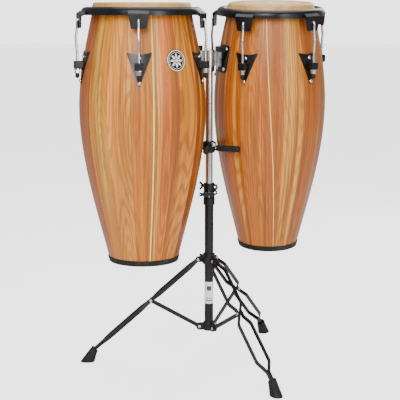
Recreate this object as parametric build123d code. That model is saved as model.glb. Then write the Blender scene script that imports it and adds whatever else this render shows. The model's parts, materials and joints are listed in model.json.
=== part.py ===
from build123d import *
import os
from math import acos, atan2, degrees, hypot, radians, sin, sqrt

# A pair of barrel-shaped stave conga drums hung on one folding tripod stand.
# Millimetres, +Z up, the players' side towards -Y. The stand's post stands on the Z axis
# while the parts are made; place_on_floor then moves the origin under the middle of the object.

# ---------------------------------------------------------------- driving dimensions
RIM_TOP = 1030.0            # height of both rims above the floor
HEAD_RISE = 12.5            # playing surface above the rim's top
SHELL_WALL = 10.0
STAVES = 16                 # staves glued edge to edge around each shell
SHELL_DEPTH = 698.0         # bottom edge of the wood below the rim's top
RIM_HEIGHT = 21.5
RIM_GAUGE = 3.0
SKIN = 1.2
HOOP_RADIUS = 3.8           # half the thickness of the flesh hoop
HOOP_DEPTH = 15.0

LUGS = 5                    # tuning stations on each drum
ROD_RADIUS = 3.5
HOOK_DEPTH = 33.0           # where the hook passes through the rim's ear
BLOCK_TOP = 143.0           # the boss on the lug plate that holds the rod
BLOCK_BOTTOM = 163.0
BLOCK_REACH = 27.0          # how far the boss stands out from the wood
WASHER_THICKNESS = 2.5
NUT_HEIGHT = 9.2
TIP_LENGTH = 14.0
PLATE_TOP = 116.0
PLATE_TIP = 208.0
PLATE_WIDTH = 68.5
PLATE_GAUGE = 3.0
SUNK = 2.0                  # how far a plate is drawn into the wood before the shell is cut away
SCREW_DEPTHS = (132.0, 196.0)
SCREW_RADIUS = 2.5
WASHER_RADIUS = 9.5
NUT_FLATS = 12.5            # across the flats of a tuning nut
BACKING_GAUGE = 2.5         # steel plates inside the shell, under the screws' nuts
TIP_RADIUS = 5.8            # a rod's rubber tip
RUNNING = 0.05              # radial clearance of a shaft that turns or slides
GAP = 0.3                   # clearance between faces of pieces that move apart

# Outlines of the two shells as (depth below the rim's top, outer radius)
LEFT_PROFILE = [(-8, 130.5), (113, 156.0), (247, 173.7), (397, 164.3), (532, 137.4), (SHELL_DEPTH, 95.6)]
RIGHT_PROFILE = [(-8, 119.5), (113, 145.0), (261, 161.0), (420, 148.6), (583, 114.0), (SHELL_DEPTH, 85.2)]
LEFT_AXIS = (-184.0, -95.0)
RIGHT_TOP = (176.0, 65.0)   # the right drum's axis at the height of its rim's top
RIGHT_LEAN = 4.0            # degrees; the right drum's top leans towards the players
BADGE_AZIMUTH, BADGE_DEPTH, BADGE_RADIUS, BADGE_GAUGE = -53.5, 139.0, 29.0, 1.4

HANGER_DEPTH = 140.0        # middle of the mount plates below the rims
MOUNT_WIDTH, MOUNT_HEIGHT = 62.0, 76.0
MOUNT_SCREWS = [(side, depth) for side in (-22.0, 22.0) for depth in (112.0, 168.0)]
SHOULDER_TOP = 106.0
SHOULDER_DEPTH = 120.0      # underside of the mount's shoulder, which sits on the socket
TONGUE_TIP = 157.0
TONGUE_WIDTH, TONGUE_GAUGE = 24.0, 4.0
SOCKET_WALL = 3.5
SOCKET_DEPTH = 40.0
SLOT_CLEARANCE = 0.4        # between the tongue and each face of its slot
DRUM_LIFT = 40.0            # travel that frees a tongue from its socket

LOWER_TUBE = 12.7           # radii of the two telescoping tubes
UPPER_TUBE = 10.5
TUBE_WALL = 1.5
SPIDER_Z = (97.0, 123.0)
CLAMP_Z = (469.0, 491.0, 511.0)
LOCK_Z = (511.3, 532.0)
HANGER_Z = (862.0, 914.0)
CRADLE_Z = (620.0, 653.0)
ARM_Z = 634.0
ARM_LENGTH = 95.0
ARM_RADIUS = 5.0
SLEEVE_RADIUS = 8.75
SLEEVE_LENGTH = 71.0
WING_SHANK = 3.0            # radius of every wing bolt's shank
CRADLE_BOLT_AZIMUTH, CRADLE_BOLT_Z = -61.0, 645.0
COLLAR_SCREW_AZIMUTH, COLLAR_SCREW_Z = 225.0, 321.0
BOLT_OFFSET = 16.5          # clamp bolts pass the post this far from its axis
EAR_REACH = 13.5            # how far a split collar's ears stand to either side
EYE_REACH = 17.0            # the ring eye on each split collar, to the right of the post

LEG_AZIMUTHS = (180.0, -60.0, 60.0)
COLLAR_Z = (296.0, 327.0)
COLLAR_PIVOT = (31.3, 308.0)    # radius and height of the pivots on the sliding collar
SPIDER_PIVOT = (27.6, 108.0)    # radius and height of the pivots on the fixed spider
MID_PIVOT = (169.6, 185.5)      # where a brace meets its leg
LEG_LENGTH = 434.0
PIN_RADIUS = 2.5
RAIL_DEPTH = 10.0               # a leg rail's size in the plane of the fold
RAIL_WIDTH = 5.0
RAIL_GAUGE = 1.6
LOOP_SPREAD = 20.0              # half the distance between a leg's two rails
PINCH = 6.0                     # the same at a pivot
BRACE_WIDTH = 11.0
BRACE_THICKNESS = 5.0
RIVET_HEAD = (4.6, 2.2)         # radius and height of every rivet's head

FROM_BASE = (Align.CENTER, Align.CENTER, Align.MIN)
nodes = {}


# ---------------------------------------------------------------- helpers
def add(name, shapes, place=Location()):
    """Store every solid of the shapes as one named node."""
    solids = [solid for shape in shapes for solid in (place * shape).solids()]
    nodes[name] = nodes.get(name, []) + solids


def outline(points):
    """A closed straight-sided face in the XZ plane from (radius, height) points."""
    return make_face(Polyline([(x, 0, z) for x, z in points], close=True))


def turned(points, arc=360.0):
    """A solid of revolution about Z, its arc centred on +X when it isn't a whole turn."""
    solid = revolve(outline(points), Axis.Z, revolution_arc=arc)
    return solid if arc == 360.0 else Rot(0, 0, -arc / 2) * solid


def tube(outer, inner, low, high):
    """A plain upright tube."""
    rod = Cylinder(outer, high - low, align=FROM_BASE) - Cylinder(inner, high - low, align=FROM_BASE)
    return Pos(0, 0, low) * rod


def disc(radius, low, high):
    """A plain upright cylinder."""
    return Pos(0, 0, low) * Cylinder(radius, high - low, align=FROM_BASE)


def outwards(shape, reach, height):
    """Turn a piece made along +Z so that it points along +X, its base at that reach and height."""
    return Pos(reach, 0, height) * Rot(0, 90, 0) * shape


def prism(sketch, reach=260.0):
    """Extrude a (sideways, height) sketch along +X from the Z axis."""
    return extrude(Plane.YZ * sketch, reach)


def hexagon(across_flats, height):
    """A hexagonal prism with its top and bottom corners broken."""
    body = extrude(RegularPolygon(across_flats / 2, 6, major_radius=False), height)
    cone = Cylinder(across_flats / 2 * 1.13, height, align=FROM_BASE)
    return body & chamfer(cone.edges(), 0.9)


def domed_head(radius, height):
    """A screw or rivet head: a faceted dome standing on the XY plane."""
    return turned([(0, 0), (radius, 0), (radius, height * 0.35), (radius * 0.86, height * 0.7),
                   (radius * 0.55, height * 0.93), (0, height)])


def wing_bolt(shank_radius, shank_length, span):
    """A wing bolt made along +Z: its shank hangs below the XY plane and its wings spread above."""
    hub = turned([(0, 0), (6.2, 0), (6.2, 1.5), (4.6, 3), (4.6, 9), (0, 10)])
    wing = Polyline((3, 2.5), (8, 6), (span, 9), (span + 1.5, 13), (span - 2.5, 15), (3, 9), close=True)
    blade = extrude(Plane.XZ * fillet(make_face(wing).vertices(), 0.9), 1.5, both=True)
    return hub + blade + Rot(0, 0, 180) * blade + disc(shank_radius, -shank_length, 0.5)


# ---------------------------------------------------------------- the drums
class Drum:
    """One drum, made about its own axis with Z = 0 at the top of the rim and depths going down."""

    def __init__(self, name, place, profile, rim_radius, skirt_radius, lug_start, stave_start,
                 hanger_azimuth):
        self.name, self.place, self.rim_radius, self.skirt_radius = name, place, rim_radius, skirt_radius
        self.stave_start = stave_start
        self.lug_azimuths = [lug_start + 360.0 / LUGS * i for i in range(LUGS)]
        self.hanger_azimuth = hanger_azimuth
        self.outside = self.profile_curve(profile, 0)
        self.inside = self.profile_curve(profile, -SHELL_WALL)
        self.profile = profile
        self.block_face = self.radius_at(BLOCK_BOTTOM) + BLOCK_REACH - 2
        self.rod_line = self.block_face - 8.5
        widest_plate = self.radius_at(HANGER_DEPTH + MOUNT_HEIGHT / 2) + PLATE_GAUGE
        widest_wood = self.radius_at(SHOULDER_DEPTH + SOCKET_DEPTH + DRUM_LIFT)
        self.tongue_inner = max(widest_plate, widest_wood) + SOCKET_WALL + SLOT_CLEARANCE + 0.8
        self.core = revolve(self.band_face(None, self.outside), Axis.Z)

    @staticmethod
    def profile_curve(profile, offset):
        return Spline([(radius + offset, 0, -depth) for depth, radius in profile])

    def radius_at(self, depth, curve=None):
        """Radius of the shell at a depth, by halving the interval along its outline."""
        curve = curve or self.outside
        low, high = 0.0, 1.0
        for _ in range(30):
            middle = (low + high) / 2
            low, high = (middle, high) if (curve @ middle).Z > -depth else (low, middle)
        return (curve @ low).X

    @staticmethod
    def band_face(inner, outer):
        """The face between two outlines, or between the axis and one outline."""
        top, bottom = outer @ 0, outer @ 1
        if inner is None:
            inner_top, inner_bottom = Vector(0, 0, top.Z), Vector(0, 0, bottom.Z)
            inner = Line(inner_bottom, inner_top)
        else:
            inner_top, inner_bottom = inner @ 0, inner @ 1
        return make_face(outer + Line(bottom, inner_bottom) + inner + Line(inner_top, top))

    def skin_patch(self, sketch, start, thickness, arc=44.0):
        """A piece that lies on the shell: a band of the given thickness cut to the sketch's outline."""
        near = self.profile_curve(self.profile, start)
        far = self.profile_curve(self.profile, start + thickness)
        band = Rot(0, 0, -arc / 2) * revolve(self.band_face(near, far), Axis.Z, revolution_arc=arc)
        return band & prism(sketch)

    def radial_rod(self, radius, depth, low, high):
        return outwards(Cylinder(radius, high - low, align=FROM_BASE), low, -depth)


def make_shell(drum, holes):
    """Tapered staves with flat glued edges, bored for the screws of the hardware."""
    top = drum.outside @ 0
    edge = HEAD_RISE - SKIN
    crown = ThreePointArc((top.X - 7, 0, edge), (top.X - 2.2, 0, edge - 1.1), top)
    inner_top = drum.inside @ 0
    section = make_face(drum.outside + Line(drum.outside @ 1, drum.inside @ 1) + drum.inside
                        + Line(inner_top, (inner_top.X, 0, edge))
                        + Line((inner_top.X, 0, edge), (top.X - 7, 0, edge)) + crown)
    sector = 360.0 / STAVES
    stave = revolve(section, Axis.Z, revolution_arc=sector)
    staves = []
    for i in range(STAVES):
        start = drum.stave_start + i * sector
        piece = Rot(0, 0, start) * stave
        for azimuth, hole in holes:
            offset = (azimuth - start - sector / 2 + 180) % 360 - 180
            if abs(offset) < sector / 2 + 3:
                piece = piece - hole
        staves.append(piece)
    return staves


def make_bottom_ring(drum):
    """A rubber channel pressed over the bottom edge of the staves."""
    high, low = SHELL_DEPTH - 12.5, SHELL_DEPTH + 3.5
    outer_high, outer_low = drum.radius_at(high) + 2, drum.radius_at(SHELL_DEPTH) + 2
    inner_high = drum.radius_at(high + 5, drum.inside) - 2
    inner_low = drum.radius_at(SHELL_DEPTH, drum.inside) - 2
    ring = turned([(outer_high - 1, -high), (outer_high, -high - 1), (outer_low, -SHELL_DEPTH),
                   (outer_low - 1.2, -low + 0.8), (outer_low - 3, -low), (inner_low + 3, -low),
                   (inner_low, -SHELL_DEPTH), (inner_high, -high - 5), (inner_high + 2.5, -high - 5),
                   (inner_high + 6, -high)])
    wood = revolve(drum.band_face(drum.inside, drum.outside), Axis.Z)
    return ring - wood


def make_head(drum):
    """Hide stretched flat over the shell's edge, sloping down to its flesh hoop and lapped under it."""
    edge = (drum.outside @ 0).X
    skirt = drum.skirt_radius
    hoop = (skirt + HOOP_RADIUS, -HOOP_DEPTH)

    def side(grow):
        top = HEAD_RISE - SKIN + grow
        level = (Line((0, 0, top), (edge - 5, 0, top))
                 + ThreePointArc((edge - 5, 0, top), (edge - 0.6 + grow * 0.8, 0, top - 1.6),
                                 (edge + 1.8 + grow, 0, top - 6.5 - grow * 0.5)))
        return level + Line((edge + 1.8 + grow, 0, top - 6.5 - grow * 0.5),
                            (skirt - SKIN + grow, 0, hoop[1]))

    def lap(radius):
        return ThreePointArc((hoop[0] - radius, 0, hoop[1]), (hoop[0], 0, hoop[1] - radius),
                             (hoop[0] + radius, 0, hoop[1]))

    end = Line((hoop[0] + HOOP_RADIUS, 0, hoop[1]), (hoop[0] + HOOP_RADIUS + SKIN, 0, hoop[1]))
    middle = Line((0, 0, HEAD_RISE - SKIN), (0, 0, HEAD_RISE))
    section = make_face(middle + side(SKIN) + lap(HOOP_RADIUS) + end + lap(HOOP_RADIUS + SKIN) + side(0))
    return revolve(section, Axis.Z)


def make_rim(drum):
    """A rolled comfort-curve rim with one pierced ear for each hook."""
    out, gauge = drum.rim_radius, RIM_GAUGE
    inner = drum.skirt_radius + 0.6
    crest = (inner + out) / 2
    foot = -HOOP_DEPTH + HOOP_RADIUS
    section = make_face(
        Line((inner, 0, foot), (inner, 0, -6))
        + ThreePointArc((inner, 0, -6), (inner + 3, 0, -1.8), (crest, 0, 0))
        + ThreePointArc((crest, 0, 0), (out - 3.5, 0, -4.2), (out, 0, -13))
        + Line((out, 0, -13), (out, 0, -RIM_HEIGHT))
        + Line((out, 0, -RIM_HEIGHT), (out - gauge, 0, -RIM_HEIGHT))
        + Line((out - gauge, 0, -RIM_HEIGHT), (out - gauge, 0, -13))
        + ThreePointArc((out - gauge, 0, -13), (out - 6, 0, -6.6), (crest, 0, -gauge))
        + ThreePointArc((crest, 0, -gauge), (inner + 5.2, 0, -4.2), (inner + gauge, 0, -7.5))
        + Line((inner + gauge, 0, -7.5), (inner + gauge, 0, foot))
        + Line((inner + gauge, 0, foot), (inner, 0, foot)))
    rim = revolve(section, Axis.Z)
    face = drum.rod_line - ROD_RADIUS - 1.2
    side = outline([(out - 2.5, -10), (out + 1, -10), (face, -17), (face, -56), (face - 4, -56),
                    (face - 4, -25), (out - 2.5, -20)])
    front = make_face(Polyline((-27, -9), (27, -9), (27, -20), (19.5, -57), (-19.5, -57), (-27, -20),
                               close=True))
    rounded = fillet(front.vertices().sort_by(Axis.Y)[:2], 5)
    ear = extrude(side, 30, both=True) & prism(rounded)
    ear = ear - drum.radial_rod(ROD_RADIUS + 0.6, HOOK_DEPTH, out - 10, out + 30)
    for azimuth in drum.lug_azimuths:
        rim = rim + Rot(0, 0, azimuth) * ear
    return rim


def make_tuning_rod(drum):
    """A hooked rod: through the ear, down the outside of the shell and through the boss."""
    line = drum.rod_line
    end = BLOCK_BOTTOM + WASHER_THICKNESS + NUT_HEIGHT + 2 * GAP + TIP_LENGTH - 3
    path = FilletPolyline((line - 13, 0, -HOOK_DEPTH), (line - 1, 0, -HOOK_DEPTH), (line - 1, 0, -54),
                          (line + 2.6, 0, -84), (line, 0, -118), (line, 0, -end), radius=[4.6, 30, 30, 30])
    start = Plane(origin=path @ 0, z_dir=path % 0)
    return sweep(start * Circle(ROD_RADIUS), path=path)


def make_lug_plate(drum):
    """A cast plate shaped like an inverted triangle, with the boss that holds the rod."""
    half, sag = PLATE_WIDTH / 2, 6.0
    triangle = make_face(ThreePointArc((-half, -PLATE_TOP), (0, -PLATE_TOP - sag), (half, -PLATE_TOP))
                         + Polyline((half, -PLATE_TOP), (0, -PLATE_TIP), (-half, -PLATE_TOP)))
    plate = drum.skin_patch(fillet(triangle.vertices(), 2.0), -SUNK, PLATE_GAUGE + SUNK)
    low = drum.radius_at(BLOCK_TOP) - 6
    block = Box(drum.block_face - low, 22, BLOCK_BOTTOM - BLOCK_TOP)
    block = fillet(block.edges().filter_by(Axis.X), 2.5)
    block = fillet(block.faces().sort_by(Axis.X)[-1].edges(), 2.0)
    block = Pos((low + drum.block_face) / 2, 0, -(BLOCK_TOP + BLOCK_BOTTOM) / 2) * block
    web = outline([(low, -BLOCK_BOTTOM + 1), (drum.block_face - 14, -BLOCK_BOTTOM + 1),
                   (low, -PLATE_TIP + 22)])
    plate = plate + block + extrude(web, 2.5, both=True) - drum.core
    plate = plate - Pos(drum.rod_line, 0, 0) * disc(ROD_RADIUS + 0.4, -BLOCK_BOTTOM - 5, -BLOCK_TOP + 5)
    plate = plate - Pos(drum.rod_line, 0, 0) * disc(11, -BLOCK_BOTTOM - 25, -BLOCK_BOTTOM)
    for depth in SCREW_DEPTHS:
        plate = plate - drum.radial_rod(SCREW_RADIUS, depth, 100, 220)
    return plate


def make_screw(drum, depth):
    """A dome-headed screw through a plate, the shell and a backing plate, with its nut inside."""
    head = drum.radius_at(depth) + PLATE_GAUGE + 1.2
    nut = drum.radius_at(depth, drum.inside) - BACKING_GAUGE - 5.3
    shank = drum.radial_rod(SCREW_RADIUS, depth, nut - 1.5, head)
    return (shank + outwards(domed_head(5.2, 3.4), head, -depth)
            + outwards(hexagon(8, 4), nut, -depth))


def make_backing_strip(drum):
    """A steel strip inside the shell that spreads the load of a lug plate's screws."""
    middle, length = sum(SCREW_DEPTHS) / 2, SCREW_DEPTHS[1] - SCREW_DEPTHS[0]
    slot = Pos(0, -middle) * Rot(0, 0, 90) * SlotCenterToCenter(length, 16)
    strip = drum.skin_patch(slot, -SHELL_WALL - BACKING_GAUGE, BACKING_GAUGE, 12)
    for depth in SCREW_DEPTHS:
        strip = strip - drum.radial_rod(SCREW_RADIUS, depth, 80, 220)
    return strip


def mount_hole(drum, side, radius, low, high, depth):
    return Pos(0, side, 0) * drum.radial_rod(radius, depth, low, high)


def make_mount_plate(drum):
    """The plate on the shell whose tongue drops into the stand's socket."""
    sketch = Pos(0, -HANGER_DEPTH) * RectangleRounded(MOUNT_WIDTH, MOUNT_HEIGHT, 9)
    plate = drum.skin_patch(sketch, -SUNK, PLATE_GAUGE + SUNK)
    inner = drum.tongue_inner
    outer = inner + TONGUE_GAUGE
    low = drum.radius_at(SHOULDER_TOP) - 4
    shoulder = Box(outer - low, TONGUE_WIDTH + 6, SHOULDER_DEPTH - SHOULDER_TOP)
    shoulder = Pos((low + outer) / 2, 0, -(SHOULDER_DEPTH + SHOULDER_TOP) / 2) * shoulder
    shoulder = fillet(shoulder.edges().filter_by(Axis.Y).group_by(Axis.Z)[-1].sort_by(Axis.X)[-1], 3)
    tongue_top = SHOULDER_TOP + 4
    tongue = Box(TONGUE_GAUGE, TONGUE_WIDTH, TONGUE_TIP - tongue_top)
    tongue = Pos((inner + outer) / 2, 0, -(TONGUE_TIP + tongue_top) / 2) * tongue
    plate = plate + shoulder + tongue - drum.core
    for side, depth in MOUNT_SCREWS:
        plate = plate - mount_hole(drum, side, SCREW_RADIUS, 100, 220, depth)
    return plate


def make_mount_backing(drum):
    sketch = Pos(0, -HANGER_DEPTH) * RectangleRounded(MOUNT_WIDTH - 2, MOUNT_HEIGHT - 4, 9)
    backing = drum.skin_patch(sketch, -SHELL_WALL - BACKING_GAUGE, BACKING_GAUGE)
    for side, depth in MOUNT_SCREWS:
        backing = backing - mount_hole(drum, side, SCREW_RADIUS, 80, 220, depth)
    return backing


def build_drum(drum):
    """Every node of one drum; parts that repeat are made once and turned about the drum's axis."""
    at_lugs = [Rot(0, 0, azimuth) for azimuth in drum.lug_azimuths]
    at_hanger = Rot(0, 0, drum.hanger_azimuth)
    bore = [drum.radial_rod(SCREW_RADIUS, depth, 90, 200) for depth in SCREW_DEPTHS]
    holes = [(azimuth, Rot(0, 0, azimuth) * rod) for azimuth in drum.lug_azimuths for rod in bore]
    for side, depth in MOUNT_SCREWS:
        lean = degrees(atan2(side, drum.radius_at(depth)))
        hole = at_hanger * mount_hole(drum, side, SCREW_RADIUS, 90, 200, depth)
        holes.append((drum.hanger_azimuth + lean, hole))

    name, place = drum.name, drum.place
    add(f"{name}_shell", make_shell(drum, holes), place)
    add(f"{name}_bottom_ring", [make_bottom_ring(drum)], place)
    add(f"{name}_head", [make_head(drum)], place)
    hoop_line = drum.skirt_radius + HOOP_RADIUS
    add(f"{name}_flesh_hoop", [Pos(0, 0, -HOOP_DEPTH) * Torus(hoop_line, HOOP_RADIUS)], place)
    add(f"{name}_rim", [make_rim(drum)], place)

    plate = make_lug_plate(drum)
    add(f"{name}_lug_plates", [turn * plate for turn in at_lugs], place)
    rod = make_tuning_rod(drum)
    add(f"{name}_tuning_rods", [turn * rod for turn in at_lugs], place)

    rod_axis = Pos(drum.rod_line, 0, 0)
    washer = tube(WASHER_RADIUS, ROD_RADIUS + 0.1, -BLOCK_BOTTOM - WASHER_THICKNESS, -BLOCK_BOTTOM)
    washer = rod_axis * washer
    screws = [make_screw(drum, depth) for depth in SCREW_DEPTHS]
    hardware = [turn * piece for turn in at_lugs for piece in screws + [washer]]
    for side, depth in MOUNT_SCREWS:
        edge_drop = sqrt(drum.radius_at(depth) ** 2 - side ** 2) - drum.radius_at(depth)
        hardware.append(at_hanger * Pos(edge_drop, side, 0) * make_screw(drum, depth))
    add(f"{name}_lug_hardware", hardware, place)

    nut_top = BLOCK_BOTTOM + WASHER_THICKNESS + GAP
    nut = Pos(drum.rod_line, 0, -nut_top - NUT_HEIGHT) * hexagon(NUT_FLATS, NUT_HEIGHT)
    nut = nut - rod_axis * disc(ROD_RADIUS + RUNNING, -nut_top - NUT_HEIGHT, -nut_top)
    for i, turn in enumerate(at_lugs):
        add(f"{name}_tuning_nut_{i + 1}", [turn * nut], place)

    tip_top = -(nut_top + NUT_HEIGHT + GAP)
    tip_end = tip_top - TIP_LENGTH
    tip = turned([(ROD_RADIUS, tip_top), (TIP_RADIUS, tip_top), (TIP_RADIUS, tip_top - 9),
                  (4.4, tip_end + 1.4), (2, tip_end), (0, tip_end), (0, tip_end + 3),
                  (ROD_RADIUS, tip_end + 3)])
    add(f"{name}_rod_tips", [turn * rod_axis * tip for turn in at_lugs], place)

    add(f"{name}_mount_plate", [at_hanger * make_mount_plate(drum)], place)
    strip = make_backing_strip(drum)
    backing = [turn * strip for turn in at_lugs] + [at_hanger * make_mount_backing(drum)]
    add(f"{name}_backing_plates", backing, place)


def make_badge(drum):
    """A thin round badge that follows the shell."""
    face = Pos(0, -BADGE_DEPTH) * Circle(BADGE_RADIUS)
    return Rot(0, 0, BADGE_AZIMUTH) * drum.skin_patch(face, 0, BADGE_GAUGE)


right_at_hanger = RIGHT_TOP[1] + HANGER_DEPTH * sin(radians(RIGHT_LEAN))
left = Drum("left", Pos(*LEFT_AXIS, RIM_TOP), LEFT_PROFILE, rim_radius=165.5, skirt_radius=140.2,
            lug_start=-90.0, stave_start=15.0, hanger_azimuth=degrees(atan2(-LEFT_AXIS[1], -LEFT_AXIS[0])))
right = Drum("right", Pos(*RIGHT_TOP, RIM_TOP) * Rot(RIGHT_LEAN, 0, 0), RIGHT_PROFILE, rim_radius=154.5,
             skirt_radius=130.5, lug_start=-120.0, stave_start=11.2,
             hanger_azimuth=degrees(atan2(-right_at_hanger, -RIGHT_TOP[0])))


# ---------------------------------------------------------------- the stand
def make_hanger():
    """The head of the post: a cap with one open-topped socket for each drum."""
    low, high = HANGER_Z
    body = turned([(UPPER_TUBE, low), (15, low + 2), (15, high - 4), (11, high), (0, high), (0, high - 3),
                   (UPPER_TUBE, high - 3)])
    body = body + tube(15, UPPER_TUBE, low + 1, high - 4)
    for drum in (left, right):
        slot_width = TONGUE_GAUGE + 2 * SLOT_CLEARANCE
        slot_outer = drum.tongue_inner + TONGUE_GAUGE + SLOT_CLEARANCE
        slot_length = TONGUE_WIDTH + 2 * SLOT_CLEARANCE
        top, bottom = -SHOULDER_DEPTH - GAP, -SHOULDER_DEPTH - SOCKET_DEPTH
        block = Box(slot_width + 2 * SOCKET_WALL, slot_length + 2 * SOCKET_WALL, top - bottom)
        block = fillet(block.edges().filter_by(Axis.Z), 2.5)
        slot = Pos(0, 0, 3) * Box(slot_width, slot_length, top - bottom)
        socket = Pos(slot_outer - slot_width / 2, 0, (top + bottom) / 2) * (block - slot)
        socket = drum.place * (Rot(0, 0, drum.hanger_azimuth) * socket)
        centre = drum.place * Pos(0, 0, -HANGER_DEPTH)
        reach = hypot(centre.position.X, centre.position.Y) - slot_outer - 2.0
        azimuth = degrees(atan2(centre.position.Y, centre.position.X))
        gusset = outline([(12, low + 3), (reach - 3, RIM_TOP + bottom + 4), (reach, RIM_TOP + bottom + 12),
                          (reach, RIM_TOP + top - 1), (12, RIM_TOP + top - 1)])
        gusset = Rot(0, 0, azimuth) * extrude(gusset, 3, both=True)
        body = body + (gusset - disc(UPPER_TUBE, low, high)) + socket
    return body


def arm_azimuths(drum, depth):
    """Directions of the two cradle arms whose tips touch the shell, either side of the drum."""
    centre = (drum.place * Pos(0, 0, -depth)).position
    distance = hypot(centre.X, centre.Y)
    touch = drum.radius_at(depth) + SLEEVE_RADIUS + 0.6
    tip = ARM_LENGTH
    spread = degrees(acos((distance ** 2 + tip ** 2 - touch ** 2) / (2 * distance * tip)))
    middle = degrees(atan2(centre.Y, centre.X))
    return middle - spread, middle + spread


def build_post():
    """The telescoping upper tube with the hanger at its head."""
    add("upper_tube", [tube(UPPER_TUBE, UPPER_TUBE - TUBE_WALL, 200, HANGER_Z[1] - 3)])
    add("hanger_bracket", [make_hanger()])


def build_cradle():
    """A sliding clamp whose sleeved arms steady both shells."""
    low, high = CRADLE_Z
    azimuths = [angle for drum in (left, right) for angle in arm_azimuths(drum, RIM_TOP - ARM_Z)]
    cap = 3.0
    rod = outwards(Cylinder(ARM_RADIUS, ARM_LENGTH - cap - 14, align=FROM_BASE), 14, ARM_Z)
    boss = outwards(Cylinder(8, 16, align=FROM_BASE), 8, ARM_Z)
    end = SLEEVE_LENGTH
    sleeve = turned([(ARM_RADIUS, 0), (SLEEVE_RADIUS - 1, 0), (SLEEVE_RADIUS, 1), (SLEEVE_RADIUS, end - 5),
                     (SLEEVE_RADIUS - 1, end - 2), (SLEEVE_RADIUS - 3.5, end), (0, end), (0, end - cap),
                     (ARM_RADIUS, end - cap)])
    sleeve = outwards(sleeve, ARM_LENGTH - end, ARM_Z)
    clamp = turned([(UPPER_TUBE + RUNNING, low), (14, low), (16.5, low + 3), (16.5, high - 3), (14, high),
                    (UPPER_TUBE + RUNNING, high)])
    for azimuth in azimuths:
        clamp = clamp + Rot(0, 0, azimuth) * boss
    bolt_boss = outwards(Cylinder(6.5, 15, align=FROM_BASE), 8, CRADLE_BOLT_Z)
    clamp = clamp + Rot(0, 0, CRADLE_BOLT_AZIMUTH) * bolt_boss
    clamp = clamp - disc(UPPER_TUBE + RUNNING, low, high)
    bolt_hole = outwards(Cylinder(WING_SHANK + RUNNING, 30, align=FROM_BASE), 0, CRADLE_BOLT_Z)
    clamp = clamp - Rot(0, 0, CRADLE_BOLT_AZIMUTH) * bolt_hole
    for azimuth in azimuths:
        clamp = clamp - Rot(0, 0, azimuth) * rod
    add("cradle_clamp", [clamp])
    add("cradle_arms", [Rot(0, 0, azimuth) * rod for azimuth in azimuths])
    add("cradle_sleeves", [Rot(0, 0, azimuth) * sleeve for azimuth in azimuths])
    bolt = outwards(wing_bolt(WING_SHANK, 10.5, 9), 23 + GAP, CRADLE_BOLT_Z)
    add("cradle_bolt", [Rot(0, 0, CRADLE_BOLT_AZIMUTH) * bolt])


def split_collar(low, high, bore, outer, side, eye_radius, eye_z):
    """A split clamp ring: two ears that a cross bolt pulls together, and an eye on the right."""
    ring = turned([(bore, low), (outer, low), (outer, high), (bore, high)])
    middle = (low + high) / 2
    ear = Pos(0, side * BOLT_OFFSET, middle) * Box(2 * EAR_REACH, 13, high - low - 3)
    ear = fillet(ear.edges().filter_by(Axis.X), 3)
    arm = Pos(outer + 1, 0, eye_z) * Box(8, 7, eye_radius)
    eye = Pos(EYE_REACH, 0, eye_z) * Rot(90, 0, 0) * Cylinder(eye_radius, 9)
    body = ring + ear + arm + eye - disc(bore, low, high)
    body = body - Pos(EYE_REACH, 0, eye_z) * Rot(90, 0, 0) * Cylinder(3, 30)
    body = body - Pos(0, side * BOLT_OFFSET, middle) * Box(2, 20, high - low + 2)
    bolt_hole = Pos(0, side * BOLT_OFFSET, middle) * Rot(0, 90, 0) * Cylinder(WING_SHANK + RUNNING, 60)
    return body - bolt_hole


def cross_bolt(side, middle, turn):
    """The wing bolt of a split collar, its wings on the left."""
    bolt = Rot(turn, 0, 0) * Rot(0, -90, 0) * wing_bolt(WING_SHANK, 2 * EAR_REACH, 11)
    return Pos(-EAR_REACH - GAP, side * BOLT_OFFSET, middle) * bolt


def build_base():
    """The lower tube with everything that is fixed to it."""
    low, high = SPIDER_Z
    add("lower_tube", [tube(LOWER_TUBE, LOWER_TUBE - TUBE_WALL, low + 2, CLAMP_Z[1] - 2)])
    inside = LOWER_TUBE - TUBE_WALL
    add("tube_plug", [turned([(0, low - 1), (11, low - 1), (12.2, low), (12.2, low + 2), (inside, low + 2),
                              (inside, low + 14), (0, low + 14)])])

    spider = turned([(LOWER_TUBE, low), (15, low), (16.5, low + 1.5), (16.5, high - 3), (14.5, high),
                     (LOWER_TUBE, high)])
    radius, pivot = SPIDER_PIVOT
    cheek = Pos(radius, 0, pivot) * Rot(90, 0, 0) * Cylinder(10, 3)
    cheek = cheek + Pos((radius + 13) / 2, 0, pivot) * Box(radius - 13, 3, 20)
    for azimuth in LEG_AZIMUTHS:
        for side in (-1, 1):
            spider = spider + Rot(0, 0, azimuth) * Pos(0, side * 4.3, 0) * cheek
    spider = spider - disc(LOWER_TUBE, low, high)
    pin_hole = Pos(radius, 0, pivot) * Rot(90, 0, 0) * Cylinder(PIN_RADIUS, 40)
    for azimuth in LEG_AZIMUTHS:
        spider = spider - Rot(0, 0, azimuth) * pin_hole
    add("brace_spider", [spider])
    add("spider_pins", [Rot(0, 0, azimuth) * pivot_pin(SPIDER_PIVOT, 5.8) for azimuth in LEG_AZIMUTHS])

    start, shelf, top = CLAMP_Z
    clamp = split_collar(shelf, top, UPPER_TUBE + RUNNING, 16.0, -1, 7.0, 504.0)
    socket = turned([(LOWER_TUBE, start), (15.5, start), (16.5, start + 2), (16.5, shelf - 3), (15, shelf),
                     (UPPER_TUBE + 0.7, shelf), (UPPER_TUBE + 0.7, shelf - 2), (LOWER_TUBE, shelf - 2)])
    add("height_clamp", [clamp + socket])
    add("clamp_bolt", [cross_bolt(-1, (shelf + top) / 2, 60)])
    add("guide_bush", [tube(inside, UPPER_TUBE + RUNNING, shelf - 40, shelf - 2)])


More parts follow.
